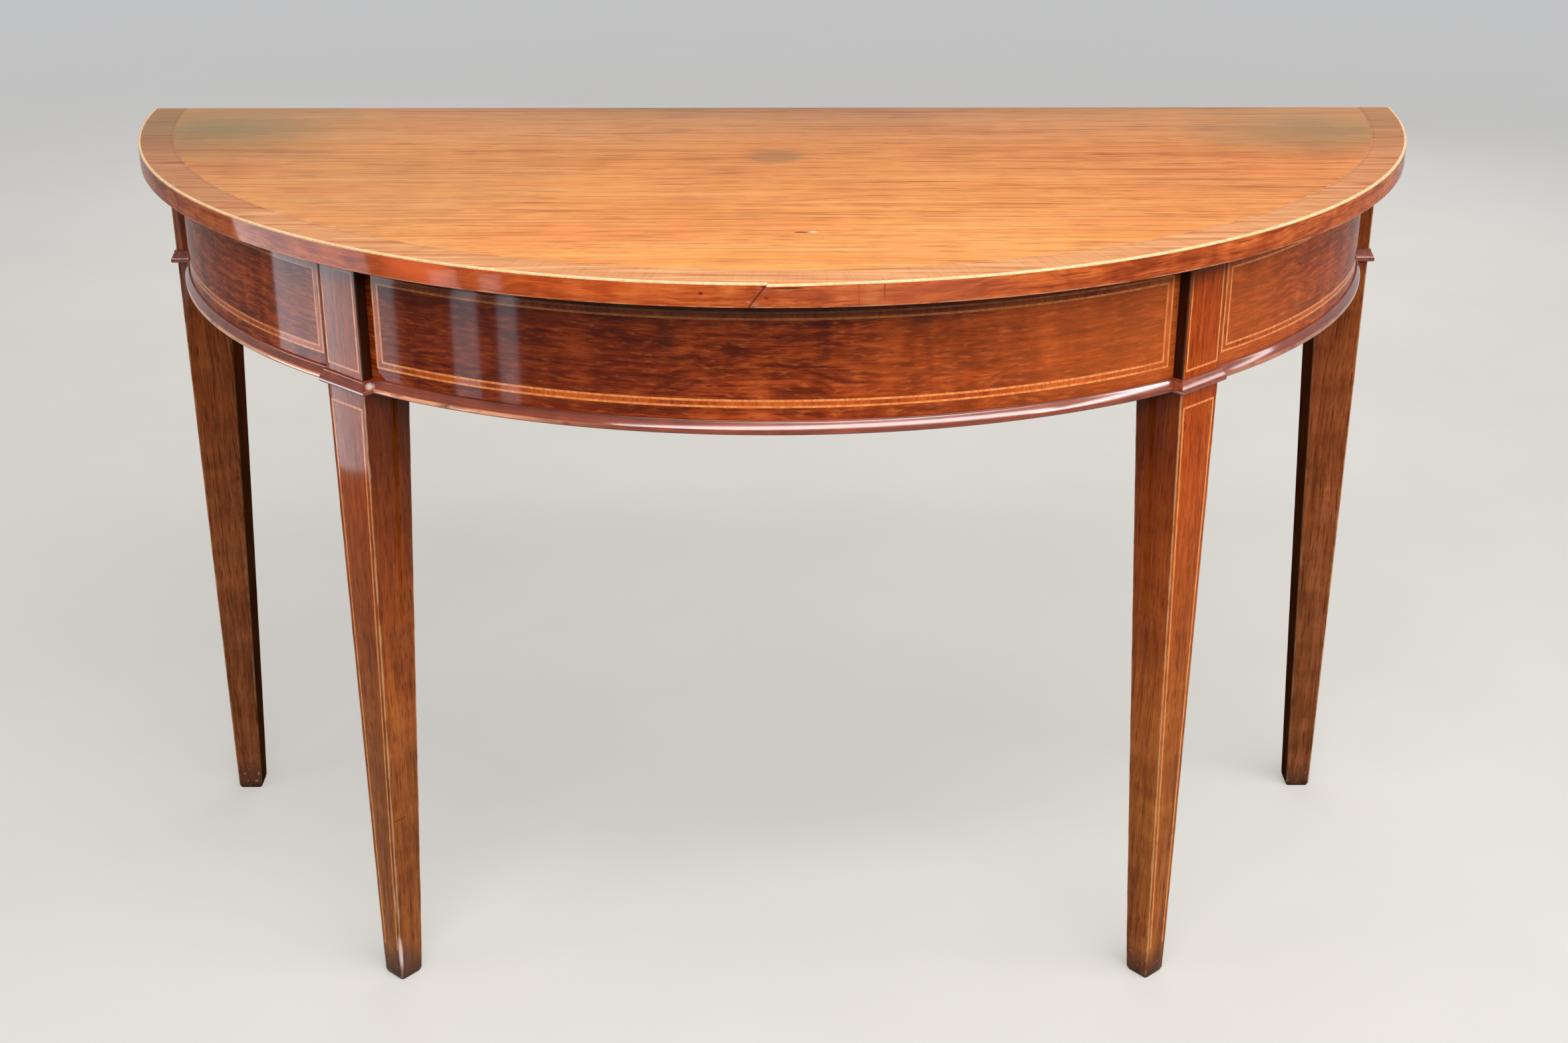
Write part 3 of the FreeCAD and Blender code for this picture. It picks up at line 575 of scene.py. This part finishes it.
def leg_material(name, shift, tones, rows=(), head="ffc084", low=0.0, shade=0.6, slot_side=0.9, inner=0.0,
                 coat=0.6):
    """A leg: upright grain, redder towards its head, with pale worn arrises and a scuffed foot, and painted
    shade on its sides under the bead, close under the top, in the slots beside the frieze and on its inner
    face."""
    def marks(w, color):
        point = object_point(w)
        on_leg = place(w, "leg", Vector=point, Shift=shift)
        deep = "2a0f07"
        color = tint(w, color, on_leg["Rise"], 0.9, head, "MULTIPLY")
        color = w.blend(w.remap(on_leg["Rise"], 0.0, 1.0, low, 0.0), color, rgb("b4b4bc"), "MULTIPLY")
        # Painted shade on the sides under the bead.
        shaded = w.math("MULTIPLY", on_leg["Under bead"], w.remap(on_leg["Side"], 0.0, 1.0, 0.0, shade))
        color = w.blend(shaded, color, rgb(deep))
        color = tint(w, color, on_leg["Foot"], 0.85, "5e3c2c")
        scuffs = w.soft(w.noise(point, (330.0, 330.0, 190.0), 2.0), 0.60, 0.70)
        color = tint(w, color, w.math("MULTIPLY", scuffs, on_leg["Foot"]), 0.55, "d4aa8c")
        color = tint(w, color, on_leg["Arris"], 0.70, "eab482")
        color = tint(w, color, on_leg["Tip"], 0.6, "3a1c10")
        # Painted shade close under the top.
        color = add_painted_shade(w, add_marks(w, color, point, rows), 0.5)
        # Painted shade on the inner face.
        color = tint(w, color, on_leg["Inner face"], inner, deep)
        # Painted shade on the block sides, in the slots beside the frieze.
        return tint(w, color, on_leg["Head side"], slot_side, deep)

    def upright(w):
        return turned(w, object_point(w), (2, 0, 1))

    def inner_face(w):
        return place(w, "leg", Vector=object_point(w), Shift=shift)["Inner face"]
    return mahogany(name, upright, tones, figure=0.15, pores=0.8, flame=0.35, pitch=0.0045, sway=0.02,
                    marks=marks, dull=inner_face if inner else None, coat=coat)


def boxwood_material(name, pale, deep, dirt, top_shade):
    """Boxwood let in as lines, dirty in places, with painted shade close under the top."""
    material, w, shader = new_material(name)
    point = object_point(w)
    fibre = w.noise(point, (260.0, 260.0, 90.0), 3.0)
    color = w.blend(w.soft(fibre, 0.35, 0.65), rgb(deep), rgb(pale))
    old = place(w, "polish", Vector=point)
    color = tint(w, color, old["Rubbed"], dirt, "b0582a")
    # Painted shade close under the top.
    w.fill(shader.inputs["Base Color"], add_painted_shade(w, color, top_shade))
    w.fill(shader.inputs["Roughness"], w.remap(fibre, 0.3, 0.7, 0.32, 0.44))
    polish(shader, coat=0.7)
    return material


def softwood_material():
    """Unpolished pine of the rails, boards and blocks, darkened with age."""
    material, w, shader = new_material("old pine")
    point = object_point(w)
    wood = place(w, "grain", Vector=point, Pale=rgb("c89a64"), Middle=rgb("ac7e4c"), Deep=rgb("7a5430"),
                 Figure=0.05, Pores=0.2)
    x, y, z = w.parts(point)
    across = w.join(w.math("MULTIPLY", x, 0.2), w.math("ADD", y, z), 0.0)
    rings = place(w, "flame", Vector=across, Pitch=0.010, Sway=0.06)
    color = tint(w, wood["Color"], rings["Figure"], 0.45, "7c5028")
    old = place(w, "polish", Vector=point)
    color = tint(w, color, old["Dark"], 0.7, "4a3320")
    w.fill(shader.inputs["Base Color"], color)
    w.fill(shader.inputs["Roughness"], w.remap(old["Rubbed"], 0.0, 1.0, 0.62, 0.85))
    bump(w, shader, wood["Height"], 0.35, 0.0008)
    shader.inputs["Specular IOR Level"].default_value = 0.2
    return material


def iron_material():
    """Dull iron of the screws, with rust."""
    material, w, shader = new_material("screw iron")
    rust = w.soft(w.noise(object_point(w), (420.0, 420.0, 420.0), 4.0), 0.42, 0.62)
    w.fill(shader.inputs["Base Color"], w.blend(rust, rgb("6a6661"), rgb("5a3a26")))
    w.fill(shader.inputs["Metallic"], w.remap(rust, 0.0, 1.0, 1.0, 0.2))
    w.fill(shader.inputs["Roughness"], w.remap(rust, 0.0, 1.0, 0.42, 0.8))
    return material


def seen_directly(w):
    """1 for camera rays and mirrored ones, 0 for the soft light between surfaces."""
    path = w.add("ShaderNodeLightPath").outputs
    straight = w.math("MAXIMUM", path["Is Camera Ray"], path["Is Transmission Ray"])
    return w.math("MAXIMUM", straight, path["Is Glossy Ray"])


def floor_material():
    """A pale floor that throws little light back, fades into the backdrop and is clear from below."""
    material, w, shader = new_material("pale floor")
    dark = (0.0, 0.0, 0.0, 1.0)
    speckle = w.noise(object_point(w), (3.0, 3.0, 3.0), 4.0)
    pale = w.blend(speckle, rgb("b8b6b2"), rgb("b0aeaa"))
    away = w.add("ShaderNodeVectorMath", object_point(w), operation="LENGTH").outputs["Value"]
    fade = w.soft(away, 1.6, 5.0)
    lit = w.blend(fade, pale, dark)
    backdrop = (*[BACKDROP * part for part in BACKDROP_TINT], 1.0)
    glow = w.blend(fade, w.blend(0.72, dark, pale), backdrop)
    w.fill(shader.inputs["Base Color"], w.blend(seen_directly(w), rgb("7c7a76"), lit))
    w.fill(shader.inputs["Emission Color"], w.blend(seen_directly(w), dark, glow))
    below = w.add("ShaderNodeNewGeometry").outputs["Backfacing"]
    w.fill(shader.inputs["Alpha"], w.math("SUBTRACT", 1.0, below))
    shader.inputs["Emission Strength"].default_value = 1.0
    shader.inputs["Roughness"].default_value = 0.95
    shader.inputs["Specular IOR Level"].default_value = 0.0
    return material


FRONT_TONES = ("dc8840", "c06c2c", "743614")
LEFT_TONES = ("cc7c3a", "b06228", "6a3012")
BACK_TONES = ("d07c4c", "a85e32", "5a2e17")
# Back legs: weaker painted shade under the bead, none in the slots, and painted shade on the inner face,
# which is also left without polish.
BACK_LOOK = {"head": "ffe4c0", "low": 0.5, "shade": 0.35, "slot_side": 0.0, "inner": 0.7, "coat": 0.25}
# Scuffs, two pale streaks on the arris and a fine crack, low on the left front leg.
LEFT_FOOT = (
    ((0.009, 0.004, 0.024), (0.016, 0.016, 0.028), 0.9, "6a4c48", 0.6),
    ((0.0085, 0.0, 0.031), (0.0034, 0.0034, 0.026), 0.6, "ffe6dc", 0.95),
    ((0.0068, 0.0, 0.092), (0.0024, 0.0024, 0.022), 0.7, "f0c8a8", 0.7),
    ((0.016, 0.010, 0.178), (0.012, 0.012, 0.0011), 0.6, "3a1a0c", 0.7),
)
FRONT_SHIFT = FOOT_SET / ((LEG_WIDTH - FOOT_WIDTH) / 2)
LEG_FINISH = {
    "front_right": leg_material("front right leg", FRONT_SHIFT, FRONT_TONES, head="ffb670", coat=0.4),
    "front_left": leg_material("front left leg", -FRONT_SHIFT, LEFT_TONES, LEFT_FOOT),
    "back_right": leg_material("back right leg", -1.0, BACK_TONES, **BACK_LOOK),
    "back_left": leg_material("back left leg", 1.0, BACK_TONES, **BACK_LOOK),
}

MATERIALS = {
    "mahogany_field": field_material(),
    "mahogany_crossband": crossband_material(),
    "mahogany_edge": edge_material(),
    "boxwood": boxwood_material("inlay boxwood", "ffa65c", "ee8840", 0.4, 0.8),
    "mahogany_frieze": frieze_material(),
    "red_band": band_material(),
    "mahogany_leg": LEG_FINISH["front_right"],
    "mahogany_bead": bead_material(),
    "softwood": softwood_material(),
    "iron": iron_material(),
}
EDGE_BOXWOOD = boxwood_material("edge boxwood", "ffdcac", "f6c68e", 0.2, 0.0)


def finish_mesh(name, vertices, faces, slot, matrix=None, sharp=40.0):
    """Makes an object of the mesh, with outward faces and sharp edges kept, and lets it ride on the table."""
    mesh = bpy.data.meshes.new(name)
    mesh.from_pydata(vertices, [], faces)
    shape = bmesh.new()
    shape.from_mesh(mesh)
    bmesh.ops.recalc_face_normals(shape, faces=shape.faces)
    for face in shape.faces:
        face.smooth = True
    for edge in shape.edges:
        edge.smooth = edge.calc_face_angle(0.0) < math.radians(sharp)
    shape.to_mesh(mesh)
    shape.free()
    mesh.materials.append(MATERIALS[slot])
    obj = bpy.data.objects.new(name, mesh)
    bpy.context.scene.collection.objects.link(obj)
    if matrix is not None:
        obj.matrix_world = matrix
    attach(obj, "root")
    return obj


def tube(rings):
    """Vertices and faces of a closed run through rings of points, with flat ends."""
    count = len(rings[0])
    vertices = [point for ring in rings for point in ring]
    faces = []
    for i in range(len(rings) - 1):
        for j in range(count):
            k = (j + 1) % count
            faces.append((i * count + j, i * count + k, (i + 1) * count + k, (i + 1) * count + j))
    last = (len(rings) - 1) * count
    faces.append(tuple(range(count)))
    faces.append(tuple(range(last, last + count)))
    return vertices, faces


def oval_point(half_width, depth, angle, z):
    """A point of an oval about the middle of the back edge; angle 0 is the middle of the front."""
    return (half_width * math.sin(angle), BACK_EDGE - depth * math.cos(angle), z)


def rounded_corner(centre, radius, start, steps=5):
    """Points of a quarter circle from an angle in degrees, going anticlockwise."""
    points = []
    for i in range(steps + 1):
        angle = math.radians(start + 90 * i / steps)
        points.append((centre[0] + radius * math.cos(angle), centre[1] + radius * math.sin(angle)))
    return points


def sunk(side, distance, z):
    """How far the upper part of the right-hand strip has sunk, a distance along from the slanting joint."""
    if side < 0 or z < TABLE_HEIGHT - SUNK_BAND:
        return 0.0
    return SUNK_DEPTH * math.exp(-(distance / SUNK_LENGTH) ** 2)


def edge_run(name, slot, replaced, profile, side, steps=240):
    """A strip of the top's edge from a back corner to the slanting joint; profile holds (outward, z)."""
    rings = []
    for i in range(steps + 1):
        ring = []
        for outward, z in profile:
            joint = SCARF_FOOT + (z - UNDERSIDE) * SCARF_LEAN
            end = math.asin(joint / HALF_WIDTH)
            start = side * math.pi / 2
            angle = start + (end - start) * i / steps
            drop = sunk(side, HALF_WIDTH * abs(angle - end), z)
            ring.append(oval_point(HALF_WIDTH + outward, TOP_DEPTH + outward, angle, z - drop))
        rings.append(ring)
    piece = finish_mesh(name, *tube(rings), slot)
    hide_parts(replaced)
    return piece


def make_top_edge():
    """The edge veneers and the pale line on the upper arris, both with softened corners."""
    arris = 0.0009
    corner = rounded_corner((-arris, TABLE_HEIGHT - arris), arris, 0)
    bed = TABLE_HEIGHT - VENEER
    line = [(0.0, bed)] + corner + [(-EDGE_LINE, TABLE_HEIGHT), (-EDGE_LINE, bed)]
    low = rounded_corner((-arris, UNDERSIDE + arris), arris, 270)
    band = low + [(0.0, bed), (-VENEER, bed), (-VENEER, UNDERSIDE)]
    for title, side in (("left", -1), ("right", 1)):
        run = edge_run(f"edge_line_{title}", "boxwood", f"top_edge_line_{title}", line, side)
        run.data.materials[0] = EDGE_BOXWOOD
        edge_run(f"edge_veneer_{title}", "mahogany_edge", f"top_edge_veneer_{title}", band, side)


def bead_profile():
    """The bead's section as (outward, z): a small top fillet, a quirk, a long easy slope and a round nose."""
    # millimetres out from the frieze and up from the foot of the rail
    rows = ((0.9, 12.0), (1.5, 11.8), (1.8, 11.4), (1.8, 10.9), (1.5, 10.5), (1.75, 10.0), (2.3, 9.0),
            (2.83, 8.0), (3.34, 7.0), (3.83, 6.0), (4.3, 5.0), (4.7, 4.1), (4.93, 3.2), (5.0, 2.3),
            (4.85, 1.3), (4.35, 0.55), (3.5, 0.12), (2.5, 0.0))
    points = [(-VENEER, RAIL_BOTTOM)] + [(d / 1000, RAIL_BOTTOM + z / 1000) for d, z in reversed(rows)]
    return points + [(-VENEER, BEAD_TOP)]


def leg_matrix(leg):
    (x, y), turn, _ = LEGS[leg]
    return Matrix.Translation((x, y, 0.0)) @ Matrix.Rotation(turn, 4, "Z")


def oval_angle_at(leg, offset):
    """The angle on the frieze's oval where it passes beside a leg, an offset across from the leg's middle."""
    into_leg = leg_matrix(leg).inverted()
    steps = 3999
    beside = 0.06
    best = None
    for i in range(steps + 1):
        angle = math.radians(-90 + 180 * i / steps)
        point = into_leg @ Vector(oval_point(FRIEZE_HALF_WIDTH, FRIEZE_DEPTH, angle, 0.0))
        gap = abs(point.x - offset) + (1.0 if abs(point.y) > beside else 0.0)
        if best is None or gap < best[0]:
            best = (gap, angle)
    return best[1]


def make_bead_runs():
    """The bead along the foot of the frieze, between the leg blocks."""
    half = LEG_WIDTH / 2
    front_right_in = oval_angle_at("front_right", -half)
    front_right_out = oval_angle_at("front_right", half)
    back_right = oval_angle_at("back_right", -half)
    spans = {"centre": (-front_right_in, front_right_in), "right": (front_right_out, back_right),
             "left": (-back_right, -front_right_out)}
    profile = bead_profile()
    for title, (start, end) in spans.items():
        steps = 120
        rings = []
        for i in range(steps + 1):
            angle = start + (end - start) * i / steps
            rings.append([oval_point(FRIEZE_HALF_WIDTH + d, FRIEZE_DEPTH + d, angle, z) for d, z in profile])
        piece = finish_mesh(f"bead_run_{title}", *tube(rings), "mahogany_bead", sharp=50)
        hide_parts(f"bead_{title}")


def make_bead_returns():
    """The bead where it breaks forward round the leg blocks, mitred at the corners."""
    half = LEG_WIDTH / 2
    profile = bead_profile()
    for leg, (_, _, side) in LEGS.items():
        depth = RETURN_DEPTH[leg.split("_")[0]]
        corners = [((-half, depth), (-1, 0)), ((-half, 0.0), (-1, -1)),
                   ((half, 0.0), (1, -1)), ((half, depth), (1, 0))]
        if leg.startswith("back"):
            corners = corners[:2] + [((half, 0.0), (0, -1))]
        rings = []
        for (x, y), (ox, oy) in corners:
            rings.append([(side * (x + ox * d), y + oy * d, z) for d, z in profile])
        piece = finish_mesh(f"bead_return_{leg}", *tube(rings), "mahogany_bead", leg_matrix(leg), sharp=50)
        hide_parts(f"bead_{leg}_block")


def leg_section(leg, z):
    """Low and high x and y of a leg's section at a height, in its own frame, for a right-hand leg."""
    half = LEG_WIDTH / 2
    share = min(1.0, z / RAIL_BOTTOM)
    width = FOOT_WIDTH + (LEG_WIDTH - FOOT_WIDTH) * share
    if leg.startswith("back"):
        return -half, -half + width, 0.0, width
    middle = FOOT_SET * (1 - share)
    return middle - width / 2, middle + width / 2, 0.0, width


def wobble(value, seed):
    """A smooth repeatable wander between -1 and 1."""
    return 0.6 * math.sin(value * 37.0 + seed * 1.7) + 0.4 * math.sin(value * 91.0 + seed * 4.1)


def leg_ring(leg, z, inset, radius):
    """A rounded rectangle of points round a leg at a height."""
    low_x, high_x, low_y, high_y = leg_section(leg, z)
    low_x, high_x, low_y, high_y = low_x + inset, high_x - inset, low_y + inset, high_y - inset
    points = []
    centres = (((high_x - radius, high_y - radius), 0), ((low_x + radius, high_y - radius), 90),
               ((low_x + radius, low_y + radius), 180), ((high_x - radius, low_y + radius), 270))
    for centre, start in centres:
        points += rounded_corner(centre, radius, start, 4)
    return [(x, y, z) for x, y in points]


def make_legs():
    """Tapered legs with softened, slightly uneven arrises and worn feet."""
    foot, steps = 0.02, 60
    chamfer, chamfer_height = 0.0014, 0.003
    arris, wander, worn, worn_height = 0.0010, 0.0003, 0.0014, 0.03
    taper = [foot + (RAIL_BOTTOM - foot) * i / steps for i in range(steps + 1)]
    heights = [0.0, 0.0012, 0.004, 0.010] + taper + [0.64, 0.68, UNDERSIDE]
    for seed, (leg, (_, _, side)) in enumerate(LEGS.items()):
        rings = []
        for z in heights:
            inset = chamfer * max(0.0, 1 - z / chamfer_height)
            radius = arris + wander * wobble(z * 3, seed) + worn * math.exp(-z / worn_height)
            ring = leg_ring(leg, z, inset, radius)
            rings.append([(side * x, y, z) for x, y, z in ring])
        piece = finish_mesh(f"{leg}_leg", *tube(rings), "mahogany_leg", leg_matrix(leg), sharp=60)
        piece.data.materials[0] = LEG_FINISH[leg]
        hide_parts(f"leg_{leg}")


def strip(ends, side):
    """A flat strip let into a leg's face; ends holds two pairs of (x, z) points, one pair at each end."""
    proud, let_in = -0.00004, 0.0008
    rings = []
    for (ax, az), (bx, bz) in ends:
        face = [(side * ax, proud, az), (side * bx, proud, bz)]
        rings.append(face + [(side * bx, let_in, bz), (side * ax, let_in, az)])
    return tube(rings)


def merge(parts):
    """Several meshes' vertices and faces as one."""
    vertices, faces = [], []
    for more_vertices, more_faces in parts:
        start = len(vertices)
        vertices += more_vertices
        faces += [tuple(i + start for i in face) for face in more_faces]
    return vertices, faces


def frame_strips(outer, inner, side, closed):
    """Strips between matching corners of an outer and an inner outline."""
    pairs = list(zip(outer, inner))
    runs = list(zip(pairs, pairs[1:]))
    if closed:
        runs.append((pairs[-1], pairs[0]))
    return [strip(run, side) for run in runs]


def make_stringing():
    """Pale lines on each leg: a rectangle on the block, and an arch down the taper."""
    above_bead, below_top, below_bead, foot = 0.006, 0.013, 0.014, 0.034
    for leg, (_, _, side) in LEGS.items():
        half = LEG_WIDTH / 2
        outlines = []
        arches = []
        for step in (0.0, STRING_WIDTH):
            x = half - STRING_MARGIN - step
            low, high = BEAD_TOP + above_bead + step, UNDERSIDE - below_top - step
            outlines.append([(-x, low), (x, low), (x, high), (-x, high)])
            top = RAIL_BOTTOM - below_bead - step
            inward = STRING_MARGIN + step
            arch = []
            for z, end in ((foot, 0), (top, 0), (top, 1), (foot, 1)):
                low_x, high_x, _, _ = leg_section(leg, z)
                arch.append((low_x + inward if end == 0 else high_x - inward, z))
            arches.append(arch)
        parts = frame_strips(*outlines, side, True) + frame_strips(*arches, side, False)
        piece = finish_mesh(f"{leg}_stringing", *merge(parts), "boxwood", leg_matrix(leg))
        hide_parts(f"stringing_{leg}")


def dress_frame():
    """Gives every piece of the frame its finish."""
    for entry in frame["record"]["subparts"]:
        for slot in nodes[entry["node"]].material_slots:
            slot.material = MATERIALS[entry["material_slot"]]


def make_floor():
    bpy.ops.mesh.primitive_circle_add(vertices=96, radius=14.0, fill_type="NGON", location=(0.0, 0.0, 0.0))
    floor = bpy.context.object
    floor.name = "floor"
    floor.data.materials.append(floor_material())


def add_lamp(name, kind, location, target, power, color):
    """A lamp aimed at a point, unseen by the camera itself."""
    data = bpy.data.lights.new(name, kind)
    data.energy = power
    data.color = color
    lamp = bpy.data.objects.new(name, data)
    bpy.context.scene.collection.objects.link(lamp)
    lamp.location = location
    aim = Vector(target) - Vector(location)
    lamp.rotation_euler = aim.to_track_quat("-Z", "Y").to_euler()
    lamp.visible_camera = False
    return lamp


def panel_light(name, location, target, size, power, color):
    """A soft rectangular lamp."""
    lamp = add_lamp(name, "AREA", location, target, power, color)
    lamp.data.shape = "RECTANGLE"
    lamp.data.size, lamp.data.size_y = size
    return lamp


def make_world():
    """A soft dome, brighter overhead, which shows as pale grey where it is seen or mirrored."""
    world = bpy.data.worlds.new("studio")
    world.use_nodes = True
    w = Wiring(world.node_tree)
    back = world.node_tree.nodes["Background"]
    up = w.parts(w.add("ShaderNodeTexCoord").outputs["Generated"])[2]
    dome = w.remap(up, 0.0, 1.0, 0.08, 0.30)
    back.inputs["Color"].default_value = (*BACKDROP_TINT, 1.0)
    w.fill(back.inputs["Strength"], w.remap(seen_directly(w), 0.0, 1.0, dome, BACKDROP))
    bpy.context.scene.world = world


def make_light():
    """A long strip above the front edge, a soft sun, a fill for each side, and panels that show only where
    they are mirrored: three for the bead and three low ones at the left."""
    make_world()
    warm = (1.0, 0.97, 0.93)
    bright = (1.0, 0.98, 0.98)
    cool = (0.82, 0.91, 1.0)
    left = -1.25
    sun = add_lamp("sky_sun", "SUN", (0.8, -1.2, 3.2), (0.0, 0.0, 0.4), 0.5, warm)
    sun.data.angle = math.radians(50)
    panel_light("strip", (0.25, -0.95, 2.0), (0.1, -0.1, 0.7), (1.7, 0.24), 14.0, warm)
    fills = (
        panel_light("front_fill", (0.4, -2.9, 2.3), (0.0, -0.2, 0.6), (4.4, 0.5), 55.0, (0.98, 0.98, 1.0)),
        panel_light("right_fill", (2.3, -1.0, 1.85), (0.2, -0.1, 0.6), (1.6, 0.55), 21.0, warm),
        panel_light("left_fill", (-2.3, -1.2, 1.5), (-0.3, 0.0, 0.4), (1.4, 0.9), 9.0, warm),
        panel_light("back_fill", (0.3, 2.9, 1.3), (0.0, 0.2, 0.5), (3.0, 1.6), 27.0, warm),
    )
    for fill in fills:
        fill.visible_glossy = False
    mirrored = [
        panel_light("front_strip", (0.6, -2.9, 2.22), (0.1, -0.2, 0.6), (4.8, 0.27), 68.0, bright),
        panel_light("right_strip", (2.35, -1.05, 1.58), (0.2, -0.1, 0.6), (1.9, 0.17), 19.0, bright),
        panel_light("block_strip", (2.9, 0.12, 1.19), (0.38, -0.13, 0.61), (0.6, 0.14), 2.4, bright),
    ]
    panels = (("wide", -0.20, 0.33, (0.62, 0.36), 5.0), ("near", -0.90, 0.171, (0.16, 0.282), 1.0),
              ("far", -1.195, 0.138, (0.15, 0.215), 0.75))
    for title, y, z, size, power in panels:
        mirrored.append(panel_light(f"left_panel_{title}", (left, y, z), (0.0, y, z), size, power, cool))
    for panel in mirrored:
        panel.visible_diffuse = False


def make_camera():
    """The photograph's viewpoint: above the table's middle, looking down at it."""
    data = bpy.data.cameras.new("camera")
    data.sensor_width = 36.0
    data.lens = 50.72
    camera = bpy.data.objects.new("camera", data)
    bpy.context.scene.collection.objects.link(camera)
    camera.location = (0.0029, -1.8775, 1.2700)
    camera.rotation_euler = (math.radians(65.61), 0.0, math.radians(-0.21))
    bpy.context.scene.camera = camera


make_camera()
dress_frame()
make_top_edge()
make_bead_runs()
make_bead_returns()
make_legs()
make_stringing()
make_floor()
make_light()
bpy.context.scene.view_settings.view_transform = "Standard"
